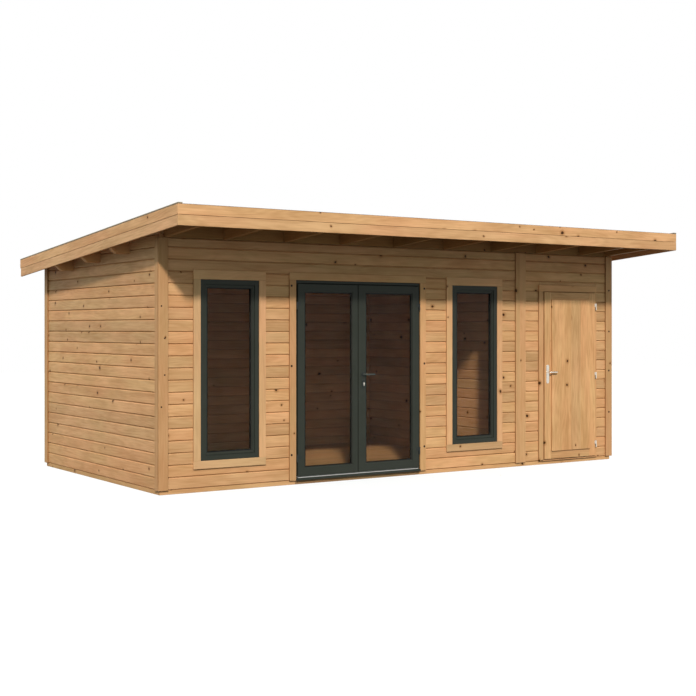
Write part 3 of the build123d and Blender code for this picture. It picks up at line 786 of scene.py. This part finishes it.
def corner_pair(x, y, into_x, into_y, end_top, side_top):
    """The two boards of one corner, each up to its own height."""
    ends = np.array([[0, 0], [CORNER_FRONT, TRIM_THICKNESS]]) * (into_x, into_y) + (x, y)
    sides = np.array([[0, TRIM_THICKNESS], [TRIM_THICKNESS, CORNER_SIDE]]) * (into_x, into_y) + (x, y)
    return [
        box_boards((*pair.min(0), base), (*pair.max(0), top), Z, deep)
        for pair, deep, top in ((ends, Y, end_top), (sides, X, side_top))
    ]


front_corner_top = roof_z(trim_low[Y] + CORNER_SIDE) - RAFTER_UNDER
back_end_top = roof_z(trim_high[Y]) - TAIL_UNDER
back_side_top = roof_z(trim_high[Y]) - DECK_UNDER
corner_tops = (
    (trim_low[Y], 1, front_corner_top, front_corner_top),
    (trim_high[Y], -1, back_end_top, back_side_top),
)
corner_boards = [
    board
    for x, into_x in ((trim_low[X], 1), (trim_high[X], -1))
    for y, into_y, *tops in corner_tops
    for board in corner_pair(x, y, into_x, into_y, *tops)
]
trim("corner_trims", corner_boards, trim_wood, "corner_boards", tones=CORNER_TONES)

# Joint between room and store
joint_low, joint_high = corners("joint_covers")
cover_right = joint_low[X] + JOINT_COVER
strip_left = joint_high[X] - JOINT_STRIP
back_joint_top = roof_z(joint_high[Y]) - TAIL_UNDER
strip_front = front_low[Y] - JOINT_STRIP_THICKNESS
joint = [
    box_boards((joint_low[X], joint_low[Y], base), (cover_right, front_low[Y], front_top), Z, Y),
    box_boards((strip_left, strip_front, base), (joint_high[X], front_low[Y], front_top), Z, Y),
    box_boards((joint_low[X], back_high[Y], base), (cover_right, joint_high[Y], back_joint_top), Z, Y),
]
trim("joint_trims", joint, trim_wood, "joint_covers")

# Casings
for side, hole in (("left", left_window), ("right", right_window)):
    low, high = corners(f"{side}_window_casing")
    casing = ring_of_boards(opening(f"{side}_window_casing"), hole, low[Y], high[Y])
    trim(f"{side}_window_trims", casing, casing_wood, f"{side}_window_casing")

low, high = corners("double_door_casing")
casing_inside = (door_frame[0] + FRAME_COVER, door_frame[1] - FRAME_COVER, low[Z], door_frame[3] - HEAD_COVER)
casing = ring_of_boards(opening("double_door_casing"), casing_inside, low[Y], high[Y], foot=False)
trim("double_door_trims", casing, trim_wood, "double_door_casing")

leaf_low, leaf_high = corners("shed_door_leaf")
shed_doorway = (leaf_low[X] - SHED_GAP, leaf_high[X] + SHED_GAP, base, leaf_high[Z] + SHED_GAP)
low, high = corners("shed_door_casing")
casing = ring_of_boards(opening("shed_door_casing"), shed_doorway, low[Y], high[Y], foot=False)
trim("store_door_trims", casing, trim_wood, "shed_door_casing")
casing_front = low[Y]

low, high = corners("shed_door_frame")
stop_y = leaf_high[Y] + SHED_STOP_GAP
inside = (low[X] + SHED_JAMB, high[X] - SHED_HINGE_JAMB, low[Z], high[Z] - SHED_JAMB)
stop = (inside[0] + SHED_STOP, inside[1] - SHED_STOP, inside[2], inside[3] - SHED_STOP)
jambs = ring_of_boards(shed_frame, inside, low[Y], stop_y, foot=False)
jambs += ring_of_boards(shed_frame, stop, stop_y, high[Y], foot=False)
dress(planks("store_door_jambs", jambs, ROUGH_EDGE), "house", "trim", trim_wood, "shed_door_frame")
low, high = corners("shed_door_sill")
low[Y] = casing_front
sill = planks("store_door_cill", [box_boards(low, high, X, Y)], ROUGH_EDGE)
dress(sill, "house", "trim", trim_wood, "shed_door_sill")

# Store door leaf, and its panel of upright boards that stands proud of it
panel_low, panel_high = corners("shed_door_panel")
leaf = [
    box_boards(leaf_low, (panel_low[X], leaf_high[Y], leaf_high[Z]), Z, Y),
    box_boards((panel_high[X], leaf_low[Y], leaf_low[Z]), leaf_high, Z, Y),
    box_boards((panel_low[X], leaf_low[Y], panel_high[Z]), (panel_high[X], leaf_high[Y], leaf_high[Z]), X, Y),
    box_boards((panel_low[X], leaf_low[Y], leaf_low[Z]), (panel_high[X], leaf_high[Y], panel_low[Z]), X, Y),
]
leaf = planks("store_door_frame_boards", leaf, TRIM_EDGE, tones=LEAF_TONES)
dress(leaf, "shed_door", "door_timber", door_wood, "shed_door_leaf")
panel_front = leaf_low[Y] - PANEL_RISE
panel_x = np.linspace(panel_low[X], panel_high[X], PANEL_BOARDS + 1)
panel = [
    box_boards((x0, panel_front, panel_low[Z]), (x1, panel_high[Y], panel_high[Z]), Z, Y)
    for x0, x1 in zip(panel_x, panel_x[1:])
]
panel = planks("store_door_panel_boards", panel, PANEL_GROOVE, CHAMFER_POINTS)
dress(panel, "shed_door", "door_timber", door_wood, "shed_door_panel")

# Base and floors
low, high = corners("long_bearers")
front_beam = low[Y] + BEARER_WIDTH
bearers = [
    box_boards(low, (casing_inside[0], front_beam, high[Z]), X, Y),
    box_boards((casing_inside[1], low[Y], low[Z]), (high[X], front_beam, high[Z]), X, Y),
    box_boards((low[X], high[Y] - BEARER_WIDTH, low[Z]), high, X, Y),
]
dress(planks("long_bearer_beams", bearers, TRIM_EDGE), "house", "floor_timber", cladding, "long_bearers")
# The bearer under the doorway gets the darker wood
doorway_beam = [box_boards((casing_inside[0], low[Y], low[Z]), (casing_inside[1], front_beam, high[Z]), X, Y)]
dress(planks("doorway_bearer", doorway_beam, TRIM_EDGE), "house", "floor_timber", dark_doorway_wood)

low, high = corners("cross_bearers")
first_joist = low[X] + BEARER_WIDTH / 2
last_joist = high[X] - BEARER_WIDTH / 2
joist_x = np.concatenate([
    np.linspace(first_joist, joint_x, ROOM_JOISTS + 2),
    np.linspace(joint_x, last_joist, SHED_JOISTS + 2)[1:],
])
joists = [
    box_boards((x - BEARER_WIDTH / 2, low[Y], low[Z]), (x + BEARER_WIDTH / 2, high[Y], high[Z]), Y, X)
    for x in joist_x
]
dress(planks("cross_bearer_beams", joists, TRIM_EDGE), "house", "floor_timber", floor_wood, "cross_bearers")

for room in ("room", "shed"):
    low, high = corners(f"{room}_floor")
    lines = np.append(np.arange(low[Y], high[Y] - SHORTEST_COURSE, FLOOR_BOARD), high[Y])
    boards = [
        box_boards((low[X], y0, low[Z]), (high[X], y1, high[Z]), X, Z)
        for y0, y1 in zip(lines, lines[1:])
    ]
    boards = planks(f"{room}_floor_boards", boards, FLOOR_GROOVE, CHAMFER_POINTS)
    dress(boards, "house", "floor_timber", floor_wood, f"{room}_floor")

# Roof timbers
deck_low, deck_high = corners("roof_deck")
low, high = corners("rafters")
rafters_end = high[X] - RAFTER_ROOM_SHARE * RAFTER_WIDTH
inner_rafters = np.arange(trim_low[X] + FIRST_RAFTER, rafters_end, RAFTER_PITCH)
rafter_x = np.concatenate([[low[X] + RAFTER_WIDTH / 2], inner_rafters, [high[X] - RAFTER_WIDTH / 2]])
fascia_drops = ((FELT_THICKNESS, TAIL_UNDER), (FASCIA_HEIGHT - FASCIA_BOARD, FASCIA_HEIGHT))
rafters = [
    rafter_boards(x - RAFTER_WIDTH / 2, x + RAFTER_WIDTH / 2, y0, y1, DECK_UNDER, under)
    for x in rafter_x
    for y0, y1, under in (
        (deck_low[Y], back_high[Y], RAFTER_UNDER),
        (back_high[Y], deck_high[Y], TAIL_UNDER),
    )
]
dress(planks("rafter_boards", rafters, ROUGH_EDGE), "house", "roof_timber", shaded_roof_wood, "rafters")

fillers = [
    purlin_boards(x0 + RAFTER_WIDTH / 2, x1 - RAFTER_WIDTH / 2, y0, y1, DECK_UNDER, RAFTER_UNDER)
    for x0, x1 in zip(rafter_x, rafter_x[1:])
    for y0, y1 in ((front_low[Y], front_high[Y]), (back_low[Y], back_high[Y]))
]
fillers = planks("eaves_boards", on_edge(fillers), ROUGH_EDGE)
dress(fillers, "house", "roof_timber", shaded_roof_wood, "eaves_fillers")


def lookout_blocks(name):
    """Blocks under the side eaves: rings at the wall, at the cut and at the end, where the foot rises."""
    low, high = corners("lookouts")
    middles = np.arange(low[Y], high[Y], LOOKOUT_PITCH) + LOOKOUT_WIDTH / 2
    runs = ((wall_low[X], low[X], 1), (right_high[X], high[X], -1))
    x = np.array([(root, end + inwards * LOOKOUT_CUT, end) for y in middles for root, end, inwards in runs])
    y = np.repeat(middles, len(runs))[:, None] + 0 * x
    half = (np.array([LOOKOUT_UNDER, LOOKOUT_UNDER, LOOKOUT_END_UNDER]) - DECK_UNDER) / 2 + 0 * x
    centres = np.stack([x, y, roof_z(y) - DECK_UNDER - half], axis=2)
    wides = half[..., None] * np.array([0, 0, 1])
    deeps = LOOKOUT_WIDTH / 2 * np.array([0, 1, -roof_fall]) + 0 * centres
    return carry(name, centres, wides, deeps, np.full(x.shape, ROUGH_EDGE), ROUND_POINTS)


dress(lookout_blocks("lookout_blocks"), "house", "roof_timber", lookout_wood, "lookouts")

lines = np.append(np.arange(deck_low[Y], deck_high[Y] - SHORTEST_COURSE, DECK_BOARD), deck_high[Y])
deck = [
    purlin_boards(deck_low[X], deck_high[X], y0, y1, FELT_THICKNESS, DECK_UNDER)
    for y0, y1 in zip(lines, lines[1:])
]
deck = planks("roof_boards", deck, DECK_GROOVE, CHAMFER_POINTS)
dress(deck, "house", "roof_timber", shaded_roof_wood, "roof_deck")

# Felt in lapped strips: each is tilted a little, so that its lower edge lies on the next strip
strip_depth = (felt_high[Y] - felt_low[Y] + FELT_LAP * (FELT_STRIPS - 1)) / FELT_STRIPS


def felt_strip(number):
    """One strip across the roof, raised at its back edge by the lap's thickness."""
    y0 = felt_low[Y] + number * (strip_depth - FELT_LAP)
    y1 = y0 + strip_depth
    start, end, wide, deep = purlin_boards(felt_low[X], felt_high[X], y0, y1, 0.0, FELT_THICKNESS)
    wide = wide + np.array([0, 0, FELT_LAP_RISE / 2])
    return start, end, wide, deep


strips = [felt_strip(number) for number in range(FELT_STRIPS)]
dress(planks("felt_strips", strips, FELT_EASE), "house", "felt", felt, "roof_felt")

# Fascias, of two boards but for the back one, and laths on the side edges
for side, drops in (("front", fascia_drops), ("back", fascia_drops[:1])):
    low, high = corners(f"{side}_fascia")
    boards = on_edge([purlin_boards(low[X], high[X], low[Y], high[Y], *drop) for drop in drops])
    trim(f"{side}_fascia_boards", boards, fascia_wood, f"{side}_fascia", tones=FASCIA_TONES)
low, high = corners("side_fascias")
boards = [
    rafter_boards(x0, x1, low[Y], high[Y], *drops)
    for x0, x1 in ((low[X], deck_low[X]), (deck_high[X], high[X]))
    for drops in fascia_drops
]
trim("side_fascia_boards", boards, fascia_wood, "side_fascias", tones=FASCIA_TONES)
laths = [
    rafter_boards(x0, x1, felt_low[Y], felt_high[Y], -LATH_THICKNESS, 0.0)
    for x0, x1 in ((felt_low[X], felt_low[X] + LATH_WIDTH), (felt_high[X] - LATH_WIDTH, felt_high[X]))
]
dress(planks("edge_laths", laths, ROUGH_EDGE), "house", "trim", lath_wood, "verge_laths")


def arris(edge, offset, into, front):
    """Rounded edge of a profile, from its side to its front; into is 1 where the face lies inwards of it."""
    sign = into if edge == OUTER else -into
    return [
        (edge, offset, front + FRAME_ROUND),
        (edge, offset + sign * FRAME_ROUND * ROUND_SHARE, front + FRAME_ROUND * ROUND_SHARE),
        (edge, offset + sign * FRAME_ROUND, front),
    ]


def face(start, end, front):
    """Flat front of a profile between two arrises, each at an (edge, offset)."""
    return arris(*start, 1, front) + arris(*end, -1, front)[::-1]


def glazed_edge(bead_front, rear):
    """Sloped bead round the glass, and the inner side behind it."""
    slope = bead_front + BEAD_SLOPE
    return [
        (INNER, BEAD_WIDTH, bead_front),
        (INNER, 0, slope),
        (INNER, 0, (slope + rear) / 2),
        (INNER, REAR_SPLAY, rear),
    ]


def glazing(body, node, bead_front):
    """Two panes of a sealed unit, the black spacer between them and the gasket on the bead's edge."""
    name = node.removesuffix("_glass")
    low, high = corners(node)
    clear = opening(node)
    low = low - (PANE_COVER, 0, PANE_COVER)
    high = high + (PANE_COVER, 0, PANE_COVER)
    front = low[Y] + PANE_THICKNESS
    rear = high[Y] - PANE_THICKNESS
    panes = [
        box_boards(low, (high[X], front, high[Z]), Z, Y),
        box_boards((low[X], rear, low[Z]), high, Z, Y),
    ]
    dress(planks(f"{name}_panes", panes, PANE_EASE, CHAMFER_POINTS), body, "glass", glass, node)
    outline = (low[X], high[X], low[Z], high[Z])
    profile = [(OUTER, 0, front), (OUTER, SPACER_WIDTH, front)]
    profile += [(OUTER, SPACER_WIDTH, rear), (OUTER, 0, rear)]
    dress(mitred(f"{name}_spacer", outline, outline, profile), body, "dark_metal", black_rubber)
    inner = bead_front + BEAD_SLOPE
    outer = inner - BEAD_SLOPE * GASKET_WIDTH / BEAD_WIDTH
    profile = [(INNER, GASKET_WIDTH, outer - GASKET_RISE), (INNER, 0, inner - GASKET_RISE)]
    profile += [(INNER, 0, inner + GASKET_SEAT), (INNER, GASKET_WIDTH, outer + GASKET_SEAT)]
    dress(mitred(f"{name}_gasket", clear, clear, profile), body, "dark_metal", black_rubber)


def glazed_frame(name, body, node, pane, profile, front):
    """A dark frame whose profile ends in a bead, set back from the front beside it, and the glass in it."""
    bead_front = front + BEAD_SETBACK
    profile = profile + glazed_edge(bead_front, corners(node)[1][Y])
    piece = mitred(name, opening(node), opening(pane), profile)
    dress(piece, body, "anthracite", anthracite, node)
    glazing(body, pane, bead_front)


# Windows
for side in ("left", "right"):
    low, high = corners(f"{side}_window_frame")
    sash_front = low[Y] + SASH_SETBACK
    gap_back = sash_front + SASH_GAP_DEPTH
    profile = [(OUTER, 0, high[Y])]
    profile += face((OUTER, 0), (OUTER, WINDOW_FRAME_WIDTH), low[Y])
    profile += [(OUTER, WINDOW_FRAME_WIDTH, gap_back), (OUTER, WINDOW_FRAME_WIDTH + SASH_GAP, gap_back)]
    profile += face((INNER, SASH_WIDTH - SASH_GAP), (INNER, BEAD_WIDTH), sash_front)
    window = f"{side}_window"
    glazed_frame(f"{window}_profile", "house", f"{window}_frame", f"{window}_glass", profile, sash_front)

# Double door: frame with stops, leaves and glass
low, high = corners("double_door_frame")
stop_front = high[Y] - STOP_DEPTH
frame_edge = FRAME_COVER + FRAME_SHOW
stop_edge = frame_edge + LEAF_GAP + STOP_OVERLAP
profile = [(OUTER, 0, high[Y])]
profile += face((OUTER, 0), (OUTER, frame_edge), low[Y])
profile += [(OUTER, frame_edge, stop_front)]
profile += arris(OUTER, stop_edge, -1, stop_front)[::-1]
profile += [(OUTER, stop_edge, high[Y])]
sill_top = corners("double_door_sill")[1][Z]
jamb_outline = (door_frame[0], door_frame[1], sill_top, door_frame[3])
door_surround = mitred("double_door_profile", jamb_outline, jamb_outline, profile, open_foot=True)
dress(door_surround, "house", "anthracite", anthracite, "double_door_frame")

for side in ("left", "right"):
    low, high = corners(f"{side}_door_leaf")
    profile = [(OUTER, 0, high[Y])]
    profile += face((OUTER, 0), (INNER, BEAD_WIDTH), low[Y])
    door = f"{side}_door"
    glazed_frame(f"{side}_leaf_profile", door, f"{door}_leaf", f"{door}_glass", profile, low[Y])


def extruded(name, runs):
    """Profiles of (depth, height) points carried straight from one x to another, with closed ends."""
    points = []
    faces = []
    for x0, x1, profile in runs:
        y, z = np.array(profile).T
        if np.sum(y * np.roll(z, -1) - z * np.roll(y, -1)) < 0:
            y, z = y[::-1], z[::-1]
        index = np.arange(2 * len(y)).reshape(1, 2, -1) + sum(len(part) for part in points)
        points.append(np.concatenate([np.stack([x + 0 * y, y, z], axis=1) for x in (x0, x1)]))
        faces += tube_faces(index)
    return build(name, np.concatenate(points), faces)


# Threshold: a thin lip over a splayed underside, ribs on its tread, and an upstand behind the leaves
low, high = corners("double_door_threshold")
tread = low[Z] + THRESHOLD_TREAD
nose = low[Y] + THRESHOLD_SETBACK
ribs = nose + RIB_PITCH * np.arange(1, TREAD_RIBS + 1)
tread_profile = [
    (high[Y], low[Z]),
    (nose + THRESHOLD_SPLAY, low[Z]),
    (nose, tread - THRESHOLD_LIP),
    (nose, tread),
]
tread_profile += [
    (y + place * RIB_PITCH, tread - drop * RIB_DEPTH)
    for y in ribs
    for place, drop in RIB_SHARES
]
tread_profile += [(high[Y], tread)]
upstand_back = stop_front + UPSTAND_WIDTH
upstand_profile = [
    (stop_front, tread),
    (stop_front, high[Z] - UPSTAND_ROUND),
    (stop_front + UPSTAND_ROUND, high[Z]),
    (upstand_back - UPSTAND_ROUND, high[Z]),
    (upstand_back, high[Z] - UPSTAND_ROUND),
    (upstand_back, tread),
]
tread_inset = FRAME_SHOW + LEAF_GAP
threshold_runs = [
    (casing_inside[0] + tread_inset, casing_inside[1] - tread_inset, tread_profile),
    (door_frame[0] + stop_edge, door_frame[1] - stop_edge, upstand_profile),
]
threshold = extruded("double_door_tread", threshold_runs)
dress(threshold, "house", "threshold_metal", threshold_metal, "double_door_threshold")


def screw_heads(name, places, head_radius):
    """Screw heads on the front: stepped (radius, rise) shares, turned about each head's own middle."""
    radius, rise = np.array(SCREW_RING_SHARES).T[:, :, None]
    angle = np.arange(SCREW_SIDES) * 2 * math.pi / SCREW_SIDES
    ring = np.stack([
        radius * np.cos(angle) * head_radius,
        -rise * SCREW_RISE + 0 * angle,
        radius * np.sin(angle) * head_radius,
    ], axis=2)
    points = np.array(places)[:, None, None] + ring
    index = np.arange(points[..., 0].size).reshape(points.shape[:3])
    return build(name, points, tube_faces(index))


# Screws in the left corner board, and wider plugs in the right one and in the double door's casing
casing_low, casing_high = corners("double_door_casing")
screws = [(trim_low[X] + share * CORNER_FRONT, trim_low[Y], z) for share, z in LEFT_CORNER_SCREWS]
dress(screw_heads("trim_screws", screws, SCREW_RADIUS), "house", "dark_metal", browned)
plugs = [(trim_high[X] - share * CORNER_FRONT, trim_low[Y], z) for share, z in RIGHT_CORNER_SCREWS]
plugs += [
    (x, casing_low[Y], z)
    for x in (casing_low[X] + CASING_SCREW_INSET, casing_high[X] - CASING_SCREW_INSET)
    for z in CASING_SCREWS
]
dress(screw_heads("trim_plugs", plugs, PLUG_RADIUS), "house", "dark_metal", browned)

# Solids whose own shape shows
finishes = {
    "double_door_sill": anthracite,
    "double_door_frame_hinges": dark_metal,
    "left_leaf_hinges": dark_metal,
    "right_leaf_hinges": dark_metal,
    "door_lever": satin,
    "door_roses": dark_metal,
    "door_cylinder": steel,
    "shed_frame_hinges": steel,
    "shed_leaf_hinges": steel,
    "shed_door_plate": steel,
    "shed_door_lever": steel,
}
for node, finish in finishes.items():
    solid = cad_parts[node]
    solid.data.materials.clear()
    solid.data.materials.append(finish)


def stage_floor():
    """Plain pale floor, which the camera sees as nearly white with the house's soft shadow on it."""
    half = FLOOR_SIZE / 2
    points = np.array([(-half, -half, 0), (half, -half, 0), (half, half, 0), (-half, half, 0)], float)
    floor = build("floor", points, [[0, 1, 2, 3]])
    pale = Recipe("pale_floor")
    seen = pale.seen()
    shade = pale.blend(seen, (*[FLOOR_BOUNCE] * 3, 1.0), (*[FLOOR_PALE] * 3, 1.0))
    pale.set(Base_Color=shade, Roughness=0.9, Specular_IOR_Level=0.0)
    white = pale.add("Emission", {"Color": (1, 1, 1, 1), "Strength": FLOOR_GLOW})
    pale.mixed(pale.sums("MULTIPLY", seen, FLOOR_GLOW_SHARE), white)
    floor.data.materials.append(pale.material)


def studio_light():
    """A soft key from the front left and a fill that is stronger from behind; the camera sees white."""
    lamp = bpy.data.lights.new("key", "SUN")
    lamp.energy = KEY_STRENGTH
    lamp.angle = math.radians(KEY_SOFTNESS)
    lamp.color = KEY_COLOUR
    key = bpy.data.objects.new("key", lamp)
    travel = np.array(KEY_TRAVEL)
    flat = math.hypot(travel[X], travel[Y])
    key.rotation_euler = (math.atan2(flat, -travel[Z]), 0, math.atan2(travel[Y], travel[X]) - math.pi / 2)
    bpy.context.scene.collection.objects.link(key)

    world = bpy.data.worlds.new("studio")
    bpy.context.scene.world = world
    world.use_nodes = True
    sky = Nodes(world.node_tree)
    backdrop = sky.tree.nodes["Background"]
    sky.feed(backdrop.inputs["Color"], (1, 1, 1, 1))
    direction = sky.add("TexCoord").outputs["Generated"]
    behind = sky.add("VectorMath", {0: direction, 1: BACK_FILL_FROM}, operation="DOT_PRODUCT")
    fullest = FILL_STRENGTH + BACK_FILL
    strength = sky.between(behind.outputs["Value"], *BACK_FILL_RANGE, FILL_STRENGTH, fullest)
    fill = sky.add("Background", {"Color": FILL_COLOUR, "Strength": strength})
    mix = sky.add("MixShader", {0: sky.seen(), 1: fill.outputs[0], 2: backdrop.outputs[0]})
    sky.feed(sky.tree.nodes["World Output"].inputs["Surface"], mix.outputs[0])


def view_camera():
    """Camera at the photograph's place: level, turned to the right, with the lens shifted a little down."""
    lens = bpy.data.cameras.new("view")
    lens.sensor_width = SENSOR
    lens.lens = LENS
    lens.shift_y = FRAME_SHIFT
    camera = bpy.data.objects.new("view", lens)
    camera.location = CAMERA_PLACE
    camera.rotation_euler = (math.pi / 2, 0, math.radians(CAMERA_TURN))
    bpy.context.scene.collection.objects.link(camera)
    bpy.context.scene.camera = camera


stage_floor()
studio_light()
view_camera()
bpy.context.scene.view_settings.view_transform = "Standard"


bpy.context.view_layer.update()
